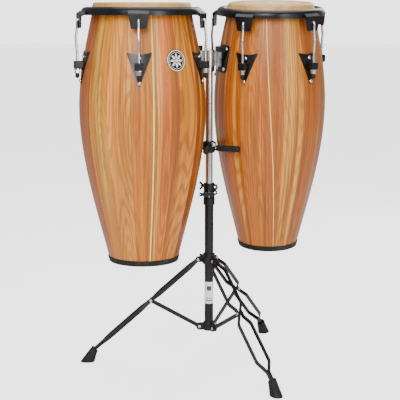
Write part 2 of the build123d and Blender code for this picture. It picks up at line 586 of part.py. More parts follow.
def pivot_pin(pivot, half_width):
    """A riveted pivot pin lying sideways across a leg or brace, a head at each end."""
    radius, height = pivot
    shank = Rot(90, 0, 0) * Cylinder(PIN_RADIUS, 2 * half_width)
    head = Pos(0, 0, half_width) * domed_head(*RIVET_HEAD)
    ends = [Rot(turn, 0, 0) * head for turn in (90, -90)]
    return Pos(radius, 0, height) * (shank + ends[0] + ends[1])


def build_lock():
    """The memory lock that rests on the height clamp and grips the upper tube."""
    low, high = LOCK_Z
    lock = split_collar(low, high, UPPER_TUBE + RUNNING, 15.5, 1, 8.3, 520.0)
    add("memory_lock", [lock])
    add("memory_lock_bolt", [cross_bolt(1, (low + high) / 2, 8)])


def build_collar():
    """The sliding collar that the legs hang from."""
    low, high = COLLAR_Z
    bore = LOWER_TUBE + RUNNING
    collar = turned([(bore, low), (18, low), (19.5, low + 2), (19.5, high - 11), (17, high - 8),
                     (17, high - 1.5), (15.5, high), (bore, high)])
    radius, pivot = COLLAR_PIVOT
    ear = Pos(radius, 0, pivot) * Rot(90, 0, 0) * Cylinder(8, 5.8)
    ear = ear + Pos((radius + 14) / 2, 0, pivot) * Box(radius - 14, 5.8, 16)
    screw_boss = outwards(Cylinder(6, 10, align=FROM_BASE), 14, COLLAR_SCREW_Z)
    for azimuth in LEG_AZIMUTHS:
        collar = collar + Rot(0, 0, azimuth) * ear
    collar = collar + Rot(0, 0, COLLAR_SCREW_AZIMUTH) * screw_boss
    collar = collar - disc(bore, low, high)
    pin_hole = Pos(radius, 0, pivot) * Rot(90, 0, 0) * Cylinder(PIN_RADIUS, 40)
    for azimuth in LEG_AZIMUTHS:
        collar = collar - Rot(0, 0, azimuth) * pin_hole
    screw_hole = outwards(Cylinder(WING_SHANK + RUNNING, 30, align=FROM_BASE), 0, COLLAR_SCREW_Z)
    collar = collar - Rot(0, 0, COLLAR_SCREW_AZIMUTH) * screw_hole
    add("leg_collar", [collar])
    half_width = PINCH + RAIL_WIDTH / 2 + GAP
    pin = pivot_pin(COLLAR_PIVOT, half_width)
    add("collar_pins", [Rot(0, 0, azimuth) * pin for azimuth in LEG_AZIMUTHS])
    screw = outwards(wing_bolt(WING_SHANK, 10.5, 9), 24 + GAP, COLLAR_SCREW_Z)
    add("collar_screw", [Rot(0, 0, COLLAR_SCREW_AZIMUTH) * screw])


# A leg is made along +X with its folding plane upright, then laid at its slope.
leg_span = hypot(MID_PIVOT[0] - COLLAR_PIVOT[0], COLLAR_PIVOT[1] - MID_PIVOT[1])
leg_slope = degrees(atan2(COLLAR_PIVOT[1] - MID_PIVOT[1], MID_PIVOT[0] - COLLAR_PIVOT[0]))
brace_span = hypot(MID_PIVOT[0] - SPIDER_PIVOT[0], MID_PIVOT[1] - SPIDER_PIVOT[1])
brace_slope = degrees(atan2(MID_PIVOT[1] - SPIDER_PIVOT[1], MID_PIVOT[0] - SPIDER_PIVOT[0]))
leg_place = Pos(COLLAR_PIVOT[0], 0, COLLAR_PIVOT[1]) * Rot(0, leg_slope, 0)


def make_rail():
    """One channel-section rail of a leg, spread into two loops between its three pinches."""
    tight, wide, closed = PINCH, LOOP_SPREAD, RAIL_WIDTH / 2 + 0.15
    mid = leg_span
    stations = [(-8, tight), (10, tight), (34, wide), (mid - 34, wide), (mid - 10, tight),
                (mid + 10, tight), (mid + 36, wide), (LEG_LENGTH - 88, wide), (LEG_LENGTH - 54, closed),
                (LEG_LENGTH - 4, closed)]
    path = FilletPolyline(*[(along, aside, 0) for along, aside in stations], radius=16)
    lip = RAIL_GAUGE
    section = Rectangle(RAIL_WIDTH, RAIL_DEPTH) - Pos(-lip, 0) * Rectangle(RAIL_WIDTH, RAIL_DEPTH - 2 * lip)
    start = Plane(origin=path @ 0, x_dir=(0, 1, 0), z_dir=(1, 0, 0))
    rail = sweep(start * section, path=path)
    for along in (0, mid):
        rail = rail + Pos(along, tight, 0) * Box(RAIL_DEPTH, RAIL_WIDTH, RAIL_DEPTH - lip)
    rail = rail - Pos(0, tight, 0) * Rot(90, 0, 0) * Cylinder(PIN_RADIUS + RUNNING, 20)
    return rail - Pos(mid, tight, 0) * Rot(90, 0, 0) * Cylinder(PIN_RADIUS, 20)


def make_foot():
    """A moulded rubber boot, flat on the floor, with its mouth square to the leg."""
    tip = (leg_place * Pos(LEG_LENGTH, 0, 0)).position
    mouth_place = leg_place * Pos(LEG_LENGTH - 27, 0, 0) * Rot(0, 90, 0)
    sole = [Pos(tip.X + 1, 0, 0) * Ellipse(17, 13), Pos(tip.X + 1.5, 0, 3.5) * Ellipse(20.5, 15.5),
            mouth_place * Circle(12.5)]
    boot = loft(sole, ruled=True)
    socket = leg_place * Pos(LEG_LENGTH - 34, 0, 0) * Box(60, 2 * RAIL_WIDTH + 0.3, RAIL_DEPTH)
    return boot - socket


def build_legs():
    """Three legs, each with its brace and its foot."""
    rail = make_rail()
    rivet_shank = Pos(leg_span, PINCH, 0) * Rot(90, 0, 0) * Cylinder(PIN_RADIUS, RAIL_WIDTH)
    rivet_head = Pos(leg_span, PINCH + RAIL_WIDTH / 2, 0) * Rot(-90, 0, 0) * domed_head(*RIVET_HEAD)
    rivet = rivet_shank + rivet_head
    half = [rail, rivet]
    leg = half + [mirror(piece, Plane.XZ) for piece in half]
    foot = make_foot()

    bar = extrude(SlotCenterToCenter(brace_span, BRACE_WIDTH), BRACE_THICKNESS / 2, both=True)
    for x in (-brace_span / 2, brace_span / 2):
        bar = bar - Pos(x, 0, 0) * Cylinder(PIN_RADIUS + RUNNING, 20)
    bar = Pos(brace_span / 2, 0, 0) * Rot(90, 0, 0) * bar
    bar = Pos(SPIDER_PIVOT[0], 0, SPIDER_PIVOT[1]) * Rot(0, -brace_slope, 0) * bar
    for i, azimuth in enumerate(LEG_AZIMUTHS):
        turn = Rot(0, 0, azimuth)
        add(f"leg_{i + 1}", leg, turn * leg_place)
        add(f"brace_{i + 1}", [bar], turn)
        add(f"foot_{i + 1}", [foot], turn)


# ---------------------------------------------------------------- assembly
build_drum(left)
build_drum(right)
add("left_badge", [make_badge(left)], left.place)
build_base()
build_lock()
build_post()
build_cradle()
build_collar()
build_legs()

whole = Compound([solid for solids in nodes.values() for solid in solids]).bounding_box()
place_on_floor = Pos(-(whole.min.X + whole.max.X) / 2, -(whole.min.Y + whole.max.Y) / 2, -whole.min.Z)

os.makedirs("parts", exist_ok=True)
for name, solids in nodes.items():
    export_step(Compound([place_on_floor * solid for solid in solids]), f"parts/{name}.step")
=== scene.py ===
import json
from math import asin, atan2, cos, hypot, pi, radians, sin, tau

import bpy
import numpy as np
from mathutils import Matrix, Vector


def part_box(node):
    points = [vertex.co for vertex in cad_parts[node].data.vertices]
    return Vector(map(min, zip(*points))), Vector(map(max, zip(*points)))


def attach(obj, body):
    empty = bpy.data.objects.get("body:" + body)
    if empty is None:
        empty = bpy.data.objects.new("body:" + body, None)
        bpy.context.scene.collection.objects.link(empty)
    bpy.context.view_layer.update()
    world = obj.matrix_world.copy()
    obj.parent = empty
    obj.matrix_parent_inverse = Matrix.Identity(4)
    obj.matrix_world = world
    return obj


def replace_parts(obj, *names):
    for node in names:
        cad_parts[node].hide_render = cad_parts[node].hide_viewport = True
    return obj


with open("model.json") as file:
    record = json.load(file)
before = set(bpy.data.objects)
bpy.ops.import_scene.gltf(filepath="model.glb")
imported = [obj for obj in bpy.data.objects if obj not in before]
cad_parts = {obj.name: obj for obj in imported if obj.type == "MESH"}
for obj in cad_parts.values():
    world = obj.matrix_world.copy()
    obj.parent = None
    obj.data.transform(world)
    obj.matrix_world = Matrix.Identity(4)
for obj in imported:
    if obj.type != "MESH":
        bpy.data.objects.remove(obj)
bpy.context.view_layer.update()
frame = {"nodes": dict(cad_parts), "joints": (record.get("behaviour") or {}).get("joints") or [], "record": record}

# Looks for a pair of stave conga drums on a folding stand. Metres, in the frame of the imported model.
# Every CAD node keeps its shape and gets a procedural material. The badge's face and rosette, the
# boots, the label and the rivet caps are made here.


# ---------------------------------------------------------------- places taken from the frame
def centre(node):
    """The middle of a CAD node's box."""
    low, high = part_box(node)
    return (low + high) / 2


POST = centre("lower_tube")
POST.z = 0.0
NUTS = 5
NUT_DEPTH = 0.1704          # the tuning nuts' middles below the rims' tops, along each drum's axis
OUTLINE_REACH = 0.02        # how far up and down a point of a shell's mesh is compared with others
HALF_WALL = 0.005           # a point further in than this from the widest belongs to the inside
JOINT_AXES = {joint["name"]: Vector(joint["axis"]) for joint in frame["joints"]}


class Drum:
    """One drum: its axis and place, its staves' tones and painted highlight line, and the outline of its shell."""

    def __init__(self, name, stave_start, tones, sapwood, seed):
        self.name, self.stave_start, self.tones = name, stave_start, tones
        self.sapwood, self.seed = sapwood, seed
        self.axis = JOINT_AXES[f"{name}_drum_lift"].normalized()
        nuts = [centre(f"{name}_tuning_nut_{i + 1}") for i in range(NUTS)]
        self.origin = sum(nuts, Vector()) / NUTS + self.axis * NUT_DEPTH
        self.lean = asin(-self.axis.y)
        self.place = Matrix.Translation(self.origin) @ Matrix.Rotation(self.lean, 4, "X")
        self.heights, self.radii = self.shell_outline()

    def local(self, point):
        return self.place.inverted() @ point

    def shell_outline(self):
        """Heights and outer radii of the shell, read from its mesh, in the drum's own frame."""
        points = [self.local(v.co) for v in frame["nodes"][f"{self.name}_shell"].data.vertices]
        pairs = sorted({(round(p.z, 4), round(hypot(p.x, p.y), 5)) for p in points})
        heights = np.array([z for z, _ in pairs])
        radii = np.array([r for _, r in pairs])
        widest = [radii[abs(heights - height) < OUTLINE_REACH].max() for height in heights]
        outer = radii > np.array(widest) - HALF_WALL
        return heights[outer], radii[outer]

    def on_shell(self, azimuth, height, lift):
        """A point at that azimuth and height in the drum's own frame, lifted off the wood."""
        radius = float(np.interp(height, self.heights, self.radii)) + lift
        return self.place @ Vector((radius * cos(azimuth), radius * sin(azimuth), height))


# One tone for each stave, anticlockwise from above, from the glue joint where the drum's staves start
LEFT_TONES = ("c98f58", "b67c46", "d9a468", "c08448", "cf985c", "b87a44", "c9925a", "bd7f47",
              "b5784a", "cc9a60", "ddaa74", "bf8a4e", "cb8b56", "d3994f", "a9692f", "c18a50")
RIGHT_TONES = ("b9804a", "cb9760", "bd8248", "c9945e", "b4783f", "d0a06a", "bf8850", "b27640",
               "ad6e40", "c17f3f", "c58c5c", "b98058", "cfa06e", "b67c42", "b98250", "c48f58")
# A pale line painted along one stave as a painted highlight: its stave, its place across the stave, its drift per
# metre of height and half its width, the last three in widths of a stave
LEFT_PAINTED_HIGHLIGHT = (11, 0.885, 0.0, 0.030)
RIGHT_PAINTED_HIGHLIGHT = (11, 0.09, -1.07, 0.018)
LEFT = Drum("left", radians(15.0), LEFT_TONES, LEFT_PAINTED_HIGHLIGHT, 3.0)
RIGHT = Drum("right", radians(11.2), RIGHT_TONES, RIGHT_PAINTED_HIGHLIGHT, 41.0)


# ---------------------------------------------------------------- material helpers
def hue(code):
    """A linear colour from a hexadecimal one."""
    parts = [int(code[i:i + 2], 16) / 255 for i in (0, 2, 4)]
    return tuple(((c + 0.055) / 1.055) ** 2.4 if c > 0.04045 else c / 12.92 for c in parts) + (1.0,)


def deep(colour):
    """The same colour, richer, so that neighbouring tones stand further apart."""
    return tuple(1.30 * c ** 1.5 for c in colour[:3]) + (1.0,)


class Surface:
    """A material on the Principled shader, with a short call for each kind of node."""

    def __init__(self, name, **sockets):
        self.material = bpy.data.materials.new(name)
        self.material.use_nodes = True
        self.tree = self.material.node_tree
        self.shader = self.tree.nodes["Principled BSDF"]
        for key, value in sockets.items():
            self.shader.inputs[key.replace("_", " ").title().replace("Ior", "IOR")].default_value = value

    def feed(self, socket, value):
        if isinstance(value, bpy.types.NodeSocket):
            self.tree.links.new(value, socket)
        else:
            socket.default_value = value

    def make(self, kind, inputs, **settings):
        node = self.tree.nodes.new(kind)
        for key, value in settings.items():
            setattr(node, key, value)
        for key, value in inputs.items():
            self.feed(node.inputs[key], value)
        return node

    def math(self, operation, *values):
        return self.make("ShaderNodeMath", dict(enumerate(values)), operation=operation).outputs[0]

    def step(self, value, start, end):
        """0 at start and 1 at end, whichever is larger, smooth between and flat beyond."""
        inputs = {0: value, 1: start, 2: end, 3: 0.0, 4: 1.0}
        return self.make("ShaderNodeMapRange", inputs, interpolation_type="SMOOTHSTEP").outputs[0]

    def blend(self, factor, first, second, mode="MIX"):
        inputs = {0: factor, 6: first, 7: second}
        return self.make("ShaderNodeMix", inputs, data_type="RGBA", blend_type=mode).outputs[2]

    def ramp(self, factor, stops, interpolation="LINEAR"):
        node = self.make("ShaderNodeValToRGB", {0: factor})
        node.color_ramp.interpolation = interpolation
        bar = node.color_ramp.elements
        while len(bar) < len(stops):
            bar.new(0.5)
        for element, (place, colour) in zip(bar, stops):
            element.position = place
            element.color = colour
        return node.outputs[0]

    def coordinates(self):
        return self.make("ShaderNodeTexCoord", {}).outputs["Object"]

    def drum_coordinates(self, drum):
        """The drum's own frame: its axis is Z and the rim's top is zero."""
        inputs = {"Vector": self.coordinates(), "Location": drum.origin, "Rotation": (drum.lean, 0, 0)}
        return self.make("ShaderNodeMapping", inputs, vector_type="TEXTURE").outputs[0]

    def split(self, vector):
        return self.make("ShaderNodeSeparateXYZ", {0: vector}).outputs[:]

    def join(self, x, y, z):
        return self.make("ShaderNodeCombineXYZ", {0: x, 1: y, 2: z}).outputs[0]

    def stretch(self, vector, factors):
        return self.make("ShaderNodeVectorMath", {0: vector, 1: factors}, operation="MULTIPLY").outputs[0]

    def noise(self, vector, scale=1.0, detail=3.0, roughness=0.5, distortion=0.0):
        inputs = {"Vector": vector, "Scale": scale, "Detail": detail, "Roughness": roughness,
                  "Distortion": distortion}
        return self.make("ShaderNodeTexNoise", inputs).outputs["Fac"]

    def colour(self, value):
        self.feed(self.shader.inputs["Base Color"], value)

    def roughness(self, value, low, high):
        """Roughness that runs from low to high as the value goes from 0 to 1."""
        spread = self.make("ShaderNodeMapRange", {0: value, 1: 0.3, 2: 0.7, 3: low, 4: high})
        self.feed(self.shader.inputs["Roughness"], spread.outputs[0])

    def bump(self, *layers):
        """Layers of (height, depth in metres), the coarsest first."""
        normal = None
        for height, depth in layers:
            inputs = {"Height": height, "Distance": depth, "Strength": 1.0}
            if normal is not None:
                inputs["Normal"] = normal
            normal = self.make("ShaderNodeBump", inputs).outputs[0]
        self.feed(self.shader.inputs["Normal"], normal)


# ---------------------------------------------------------------- materials
STAVES = 16
STAVE_WIDTH = 0.058         # one stave's width at the belly
LACQUER = (0.86, 0.80, 0.38, 1.0)   # the amber that the lacquer lays over every tone


def stave_wood(drum):
    """Glued staves of mixed tone: cathedral figure, streaks, fibres, pores, a pale painted highlight line and
    lacquer.
    """
    s = Surface(f"{drum.name}_stave_wood", coat_weight=0.12, coat_roughness=0.22, specular_ior_level=0.32)

    # Which stave, and where across it
    x, y, height = s.split(s.drum_coordinates(drum))
    turn = s.math("MULTIPLY_ADD", s.math("ARCTAN2", y, x), STAVES / tau, -drum.stave_start * STAVES / tau)
    wrapped = s.math("WRAP", turn, STAVES, 0.0)
    index, across = s.math("FLOOR", wrapped), s.math("FRACT", wrapped)

    # Three numbers of chance for each stave, and its own slice of the noise
    seed = s.math("ADD", index, drum.seed)
    chance = s.make("ShaderNodeTexWhiteNoise", {"W": seed}, noise_dimensions="1D")
    shift, figure, streakiness = s.split(chance.outputs["Color"])
    aside = s.math("MULTIPLY", across, STAVE_WIDTH)
    layer = s.math("MULTIPLY_ADD", index, 7.31, drum.seed)

    def grain(side_scale, long_scale, detail, distortion=0.0):
        """Noise drawn out along the stave, in cycles per metre across and along it."""
        drift = s.math("MULTIPLY_ADD", shift, 9.0, s.math("MULTIPLY", height, long_scale))
        vector = s.join(s.math("MULTIPLY", aside, side_scale), drift, layer)
        return s.noise(vector, 1.0, detail, 0.55, distortion)

    # Growth rings are the contour lines of a slow field, so they close into arches
    field = grain(15.0, 1.9, 0.4)
    wander = s.math("MULTIPLY", grain(150.0, 7.0, 2.0), 0.020)
    waves = s.math("SINE", s.math("MULTIPLY", s.math("ADD", field, wander), 120.0))
    rings = s.step(waves, -0.2, 1.0)
    band = grain(46.0, 1.1, 3.0, 0.35)
    streak = grain(210.0, 2.4, 4.0)
    fibre = grain(1200.0, 15.0, 2.0)
    pores = s.step(grain(2100.0, 60.0, 1.0), 0.58, 0.70)

    # The stave's own tone, then heartwood, pale bands, rings and a pale painted highlight line over it
    stops = [(i / STAVES, deep(hue(code))) for i, code in enumerate(drum.tones)]
    base = s.ramp(s.math("MULTIPLY_ADD", index, 1 / STAVES, 0.5 / STAVES), stops, "CONSTANT")
    heart = s.math("MULTIPLY", s.step(band, 0.50, 0.68), s.math("MULTIPLY_ADD", streakiness, 0.60, 0.38))
    base = s.blend(heart, base, hue("9a5526"))
    base = s.blend(s.math("MULTIPLY", s.step(band, 0.46, 0.30), 0.60), base, hue("e8bd78"))
    figured = s.math("MULTIPLY_ADD", figure, 0.42, 0.18)
    base = s.blend(s.math("MULTIPLY", rings, figured), base, hue("8a4d22"))
    # A pale line painted along one stave near the front: a painted highlight
    stave, place, slope, half = drum.sapwood
    middle = s.math("MULTIPLY_ADD", height, slope, place)
    middle = s.math("MULTIPLY_ADD", s.math("SUBTRACT", field, 0.5), 0.10, middle)
    off = s.math("ABSOLUTE", s.math("SUBTRACT", across, middle))
    here = s.math("COMPARE", index, float(stave), 0.1)
    base = s.blend(s.math("MULTIPLY", here, s.step(off, half * 1.25, half * 0.8)), base, hue("f7dfa6"))

    # Fine grain, lacquer, glue joints and handling
    light = s.math("MULTIPLY_ADD", s.math("SUBTRACT", streak, 0.5), 1.9, 1.10)
    light = s.math("MULTIPLY_ADD", s.math("SUBTRACT", fibre, 0.5), 0.75, light)
    light = s.math("MAXIMUM", s.math("MULTIPLY_ADD", pores, -0.36, light), 0.2)
    base = s.blend(1.0, s.blend(1.0, base, light, "MULTIPLY"), LACQUER, "MULTIPLY")
    edge = s.math("MINIMUM", across, s.math("SUBTRACT", 1.0, across))
    seam = s.step(edge, 0.014, 0.002)
    base = s.blend(s.math("MULTIPLY", seam, 0.55), base, hue("5f3518"))
    handled = s.step(s.noise(s.coordinates(), 6.0, 4.0), 0.52, 0.75)
    s.colour(s.blend(s.math("MULTIPLY", handled, 0.12), base, hue("7d4c24")))
    s.roughness(s.math("MULTIPLY_ADD", pores, 0.25, s.noise(s.coordinates(), 9.0, 4.0)), 0.30, 0.46)

    # Relief: each stave a little flat, open pores and sunken joints
    flat = s.math("POWER", s.math("SUBTRACT", across, 0.5), 2.0)
    hollow = s.math("ADD", s.math("MULTIPLY", pores, 0.5), seam)
    s.bump((flat, 0.0060), (rings, -0.00003), (fibre, 0.00006), (hollow, -0.00020))
    return s.material


def rawhide(drum):
    """A natural hide: amber at the edge, pale and cloudy in the middle, with a spine, veins and pores."""
    s = Surface(f"{drum.name}_rawhide", coat_weight=0.12, coat_roughness=0.35, subsurface_weight=0.12,
                subsurface_scale=0.004)
    place = s.drum_coordinates(drum)
    x, y, _ = s.split(place)
    radius = s.math("SQRT", s.math("ADD", s.math("MULTIPLY", x, x), s.math("MULTIPLY", y, y)))
    cloud = s.noise(place, 11.0, 6.0, 0.62, 0.8)
    spine = s.noise(s.stretch(place, (30.0, 6.0, 10.0)), 1.0, 5.0, 0.6, 1.2)
    middle = s.step(s.math("MULTIPLY_ADD", s.math("SUBTRACT", cloud, 0.5), 0.10, radius), 0.135, 0.045)
    base = s.blend(s.math("MULTIPLY", middle, 0.85), hue("d09c52"), hue("edd5a6"))
    base = s.blend(s.math("MULTIPLY", s.step(spine, 0.50, 0.70), 0.70), base, hue("b07a3c"))
    branching = s.math("SUBTRACT", s.noise(place, 24.0, 5.0, 0.6, 1.5), 0.5)
    veins = s.step(s.math("ABSOLUTE", branching), 0.018, 0.0)
    base = s.blend(s.math("MULTIPLY", veins, 0.45), base, hue("96652f"))
    pores = s.noise(place, 900.0, 2.0)
    s.colour(s.blend(s.math("MULTIPLY", s.step(pores, 0.56, 0.70), 0.22), base, hue("8d6338")))
    s.roughness(cloud, 0.42, 0.60)
    s.bump((cloud, 0.0006), (veins, 0.00010), (pores, 0.00008))
    return s.material


def powder_coat(name, low, high, code):
    """Black paint on metal: a faint orange peel, smears of dust and small scuffs."""
    s = Surface(name, coat_weight=0.05, coat_roughness=0.2, specular_ior_level=0.34)
    place = s.coordinates()
    peel = s.noise(place, 900.0, 2.0)
    smear = s.noise(place, 14.0, 5.0, 0.6)
    scuffs = s.step(s.noise(s.stretch(place, (60.0, 60.0, 260.0)), 1.0, 4.0, 0.7, 0.6), 0.70, 0.76)
    base = s.blend(s.math("MULTIPLY", s.step(smear, 0.45, 0.75), 0.22), hue(code), hue("2a2b2e"))
    s.colour(s.blend(s.math("MULTIPLY", scuffs, 0.40), base, hue("6a6b6e")))
    s.roughness(s.math("MULTIPLY_ADD", scuffs, 0.4, smear), low, high)
    s.bump((peel, 0.00006), (scuffs, -0.00004))
    return s.material


def bright_metal(name, code, low, high):
    """Plated metal with hairline polishing marks and finger smears."""
    s = Surface(name, metallic=1.0)
    place = s.coordinates()
    hairs = s.noise(s.stretch(place, (1800.0, 1800.0, 60.0)), 1.0, 2.0)
    smear = s.noise(place, 28.0, 4.0, 0.6)
    tarnish = s.step(s.noise(place, 55.0, 5.0, 0.65), 0.60, 0.78)
    s.colour(s.blend(s.math("MULTIPLY", tarnish, 0.3), hue(code), hue("9a948a")))
    s.roughness(s.math("MULTIPLY_ADD", tarnish, 0.25, smear), low, high)
    s.bump((hairs, 0.000012))
    return s.material


def rubber(name, code):
    """Moulded rubber: a matte skin with a fine stipple and pale dust."""
    s = Surface(name, specular_ior_level=0.35)
    place = s.coordinates()
    stipple = s.noise(place, 1300.0, 2.0)
    dust = s.step(s.noise(place, 22.0, 6.0, 0.65), 0.50, 0.78)
    s.colour(s.blend(s.math("MULTIPLY", dust, 0.35), hue(code), hue("4a4947")))
    s.roughness(s.noise(place, 40.0, 3.0), 0.55, 0.80)
    s.bump((s.noise(place, 60.0, 3.0), 0.0003), (stipple, 0.00012))
    return s.material


def enamel(name, code, worn):
    """Hard glossy enamel with a slight mottle and hairline scratches."""
    s = Surface(name, coat_weight=0.6, coat_roughness=0.08)
    place = s.coordinates()
    scratch = s.step(s.noise(s.stretch(place, (500.0, 90.0, 500.0)), 1.0, 3.0, 0.7, 0.8), 0.66, 0.70)
    mottle = s.noise(place, 160.0, 3.0)
    base = s.blend(s.math("MULTIPLY", s.step(mottle, 0.4, 0.7), 0.12), hue(code), hue(worn))
    s.colour(s.blend(s.math("MULTIPLY", scratch, 0.35), base, hue(worn)))
    s.roughness(mottle, 0.18, 0.34)
    s.bump((mottle, 0.00003), (scratch, -0.00003))
    return s.material


def label_paper():
    """Glossy white paper, a little yellowed and scuffed."""
    s = Surface("label_paper", coat_weight=0.3, coat_roughness=0.2)
    place = s.coordinates()
    fibre = s.noise(place, 2200.0, 2.0)
    stain = s.step(s.noise(place, 60.0, 5.0, 0.6), 0.45, 0.75)
    s.colour(s.blend(s.math("MULTIPLY", stain, 0.4), hue("f1f1ee"), hue("d5d2c8")))
    s.roughness(stain, 0.30, 0.5)
    s.bump((fibre, 0.00002))
    return s.material


MATERIALS = {
    "gloss_black_paint": powder_coat("gloss_black_paint", 0.26, 0.42, "070708"),
    "stand_paint": powder_coat("stand_paint", 0.36, 0.54, "0a0a0b"),
    "chrome": bright_metal("chrome", "dcdddf", 0.06, 0.2),
    "plated_steel": bright_metal("plated_steel", "bdbcb6", 0.25, 0.42),
    "black_rubber": rubber("black_rubber", "101010"),
    "nylon": rubber("nylon", "1b1b1c"),
    "badge_enamel": enamel("badge_enamel", "08090a", "3a3a3c"),
}
PALE_ENAMEL = enamel("pale_enamel", "ece9e0", "a9a59a")
BRACKET = bright_metal("bracket_plating", "c9cacc", 0.14, 0.30)

for drum in (LEFT, RIGHT):
    MATERIALS[f"{drum.name}_stave_wood"] = stave_wood(drum)
    MATERIALS[f"{drum.name}_drum_skin"] = rawhide(drum)


def finish_of(node, slot):
    """The material of a CAD node: its own, its drum's or its slot's."""
    if node == "hanger_bracket":
        return BRACKET
    drum_finish = f"{node.split('_')[0]}_{slot}"
    return MATERIALS[drum_finish if drum_finish in MATERIALS else slot]


for subpart in frame["record"]["subparts"]:
    finish = finish_of(subpart["node"], subpart["material_slot"])
    body = frame["nodes"][subpart["node"]]
    if not body.material_slots:
        body.data.materials.append(finish)
    for holder in body.material_slots:
        holder.material = finish


# ---------------------------------------------------------------- mesh helpers
def new_piece(name, vertices, faces, material, body):
    """A smooth-shaded mesh object that rides on a body."""
    mesh = bpy.data.meshes.new(name)
    mesh.from_pydata([tuple(v) for v in vertices], [], faces)
    mesh.validate()
    mesh.update()
    piece = bpy.data.objects.new(name, mesh)
    bpy.context.scene.collection.objects.link(piece)
    mesh.materials.append(material)
    for polygon in mesh.polygons:
        polygon.use_smooth = True
    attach(piece, body)
    return piece


def rings_to_faces(count, sides, closed=True):
    """Quads between successive rings of points; a closed ring joins its last side to its first."""
    faces = []
    for ring in range(count - 1):
        for side in range(sides if closed else sides - 1):
            after = (side + 1) % sides
            low, high = ring * sides, (ring + 1) * sides
            faces.append((low + side, low + after, high + after, high + side))
    return faces


def lathe(outline, sides, place):
    """Vertices and faces of a solid of revolution about Z, from (radius, height) points on its outline."""
    vertices = []
    for radius, height in outline:
        for side in range(sides):
            angle = tau * side / sides
            vertices.append(place @ Vector((radius * cos(angle), radius * sin(angle), height)))
    faces = rings_to_faces(len(outline), sides)
    faces.append(tuple(reversed(range(sides))))
    last = (len(outline) - 1) * sides
    faces.append(tuple(range(last, last + sides)))
    return vertices, faces


# ---------------------------------------------------------------- the badge
BADGE_AZIMUTH = radians(-53.5)
BADGE_HEIGHT = -0.139
BADGE_RADIUS = 0.029
BADGE_TOP = 0.0014          # how far its face stands off the wood
BADGE_MIDDLE = 0.0001       # the radius at which a disc's outline starts
SMALLEST_HOLE = 0.004       # an outline that starts further out than this is a ring's
PETALS = 8
PETAL_INNER, PETAL_OUTER, PETAL_HALF_WIDTH = 0.0055, 0.0185, 0.0029
PETAL_ROWS, PETAL_COLUMNS = 13, 7
PETAL_RISE, PETAL_SINK = 0.0007, 0.0001
PETAL_GAUGE = 0.0004

# Outlines as (radius, lift off the wood) points
FACE_OUTLINE = (
    (BADGE_MIDDLE, 0.0), (0.0275, 0.0), (BADGE_RADIUS, 0.0001), (BADGE_RADIUS, 0.0008),
    (0.0283, BADGE_TOP), (0.0268, BADGE_TOP + 0.0001), (0.014, BADGE_TOP), (BADGE_MIDDLE, BADGE_TOP),
)
OUTER_RING_OUTLINE = (
    (0.0252, BADGE_TOP - 0.0003), (0.0275, BADGE_TOP - 0.0003), (0.0273, BADGE_TOP + 0.0005),
    (0.0264, BADGE_TOP + 0.0008), (0.0254, BADGE_TOP + 0.0005),
)
INNER_RING_OUTLINE = (
    (0.0212, BADGE_TOP - 0.0003), (0.0220, BADGE_TOP - 0.0003), (0.0220, BADGE_TOP + 0.0003),
    (0.0216, BADGE_TOP + 0.0005), (0.0212, BADGE_TOP + 0.0003),
)
BOSS_OUTLINE = (
    (BADGE_MIDDLE, BADGE_TOP), (0.0040, BADGE_TOP - 0.0002), (0.0038, BADGE_TOP + 0.0007),
    (0.0024, BADGE_TOP + 0.0013), (BADGE_MIDDLE, BADGE_TOP + 0.0015),
)


def badge_point(radius, angle, lift):
    """A point on the badge in polar coordinates about its middle, bent to the shell."""
    height = BADGE_HEIGHT + radius * sin(angle)
    around = float(np.interp(height, LEFT.heights, LEFT.radii))
    return LEFT.on_shell(BADGE_AZIMUTH + radius * cos(angle) / around, height, lift)


def badge_ring(name, outline, material, sides=96):
    """A ring or disc on the badge from its outline."""
    vertices = [badge_point(r, tau * i / sides, lift) for r, lift in outline for i in range(sides)]
    faces = rings_to_faces(len(outline), sides)
    if outline[0][0] > SMALLEST_HOLE:
        last = (len(outline) - 1) * sides
        faces += [(last + i, last + (i + 1) % sides, (i + 1) % sides, i) for i in range(sides)]
    return new_piece(name, vertices, faces, material, "left_drum")


def petal_point(turn, along, across):
    """A point of a domed petal: along runs from 0 to 1, across from -1 to 1."""
    width = PETAL_HALF_WIDTH * sin(pi * (0.06 + 0.88 * along)) ** 0.7
    aside = width * across
    reach = PETAL_INNER + (PETAL_OUTER - PETAL_INNER) * along
    dome = PETAL_RISE * (1 - across ** 2) * sin(pi * along) ** 0.5
    lift = BADGE_TOP - PETAL_SINK + dome
    return badge_point(hypot(reach, aside), turn + atan2(aside, reach), lift)


def badge_rosette():
    """A generic rosette of raised petals round a small boss."""
    vertices, faces = [], []
    for petal in range(PETALS):
        start = len(vertices)
        turn = tau * petal / PETALS + pi / 2
        for i in range(PETAL_ROWS):
            for j in range(PETAL_COLUMNS):
                along, across = i / (PETAL_ROWS - 1), 2 * j / (PETAL_COLUMNS - 1) - 1
                vertices.append(petal_point(turn, along, across))
        grid = rings_to_faces(PETAL_ROWS, PETAL_COLUMNS, closed=False)
        faces += [tuple(start + k for k in face) for face in grid]
    piece = new_piece("badge_rosette", vertices, faces, PALE_ENAMEL, "left_drum")
    thicken = piece.modifiers.new("thickness", "SOLIDIFY")
    thicken.thickness = PETAL_GAUGE
    thicken.offset = 0.0


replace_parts(badge_ring("badge_face", FACE_OUTLINE, MATERIALS["badge_enamel"]), "left_badge")
badge_ring("badge_outer_ring", OUTER_RING_OUTLINE, PALE_ENAMEL)
badge_ring("badge_inner_ring", INNER_RING_OUTLINE, PALE_ENAMEL)
badge_ring("badge_boss", BOSS_OUTLINE, PALE_ENAMEL, 48)
badge_rosette()


